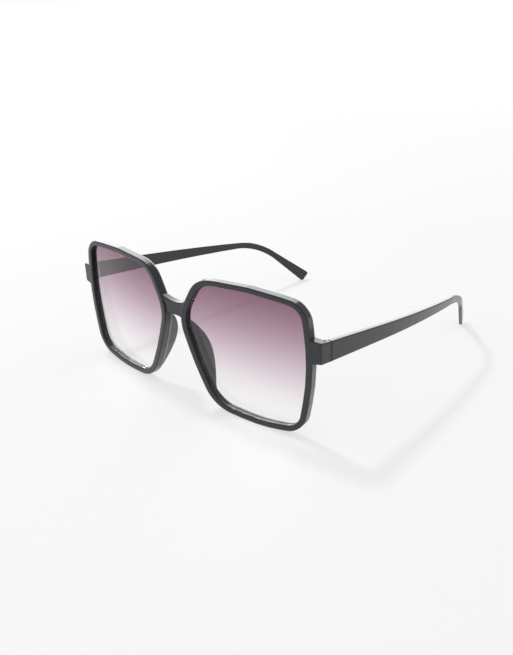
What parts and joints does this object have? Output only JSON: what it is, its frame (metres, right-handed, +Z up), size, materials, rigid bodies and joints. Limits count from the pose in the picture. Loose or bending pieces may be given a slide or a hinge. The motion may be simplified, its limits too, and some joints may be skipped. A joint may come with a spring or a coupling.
{
  "type": "square sunglasses",
  "caption": "Square full-rim sunglasses with flat gradient tinted lenses, a recessed saddle bridge, moulded nose pads and folding temples on barrel hinges.",
  "frame": {"origin": "on the table, in the middle of the object's width and depth, when it stands open on both rims and both temple tips", "axes": "+X towards the wearer's left temple, +Y from the front back to the temple tips, +Z up; the front faces -Y"},
  "size_m": [0.1444, 0.149, 0.058],
  "materials": {
    "frame_plastic": "satin black moulded plastic",
    "temple_plastic": "satin black moulded plastic",
    "tinted_lens": "clear, with a violet tint that fades out towards the bottom",
    "hinge_steel": "brushed",
    "screw_steel": "turned"
  },
  "bodies": {
    "front": {"front_frame": "frame_plastic", "left_lens": "tinted_lens", "right_lens": "tinted_lens", "left_front_hinge": "hinge_steel", "right_front_hinge": "hinge_steel", "left_hinge_screw": "screw_steel", "right_hinge_screw": "screw_steel"},
    "left_temple": {"left_temple": "temple_plastic", "left_temple_hinge": "hinge_steel"},
    "right_temple": {"right_temple": "temple_plastic", "right_temple_hinge": "hinge_steel"}
  },
  "joints": [
    {"name": "left_temple_hinge", "type": "hinge", "parent": "front", "child": "left_temple", "pos_m": [0.06915, -0.06122, 0.03837], "axis": [0, -0.0143, 0.9999], "range_deg": [0, 82]},
    {"name": "right_temple_hinge", "type": "hinge", "parent": "front", "child": "right_temple", "pos_m": [-0.06915, -0.06122, 0.03837], "axis": [0, 0.0143, -0.9999], "range_deg": [0, 75]}
  ]
}
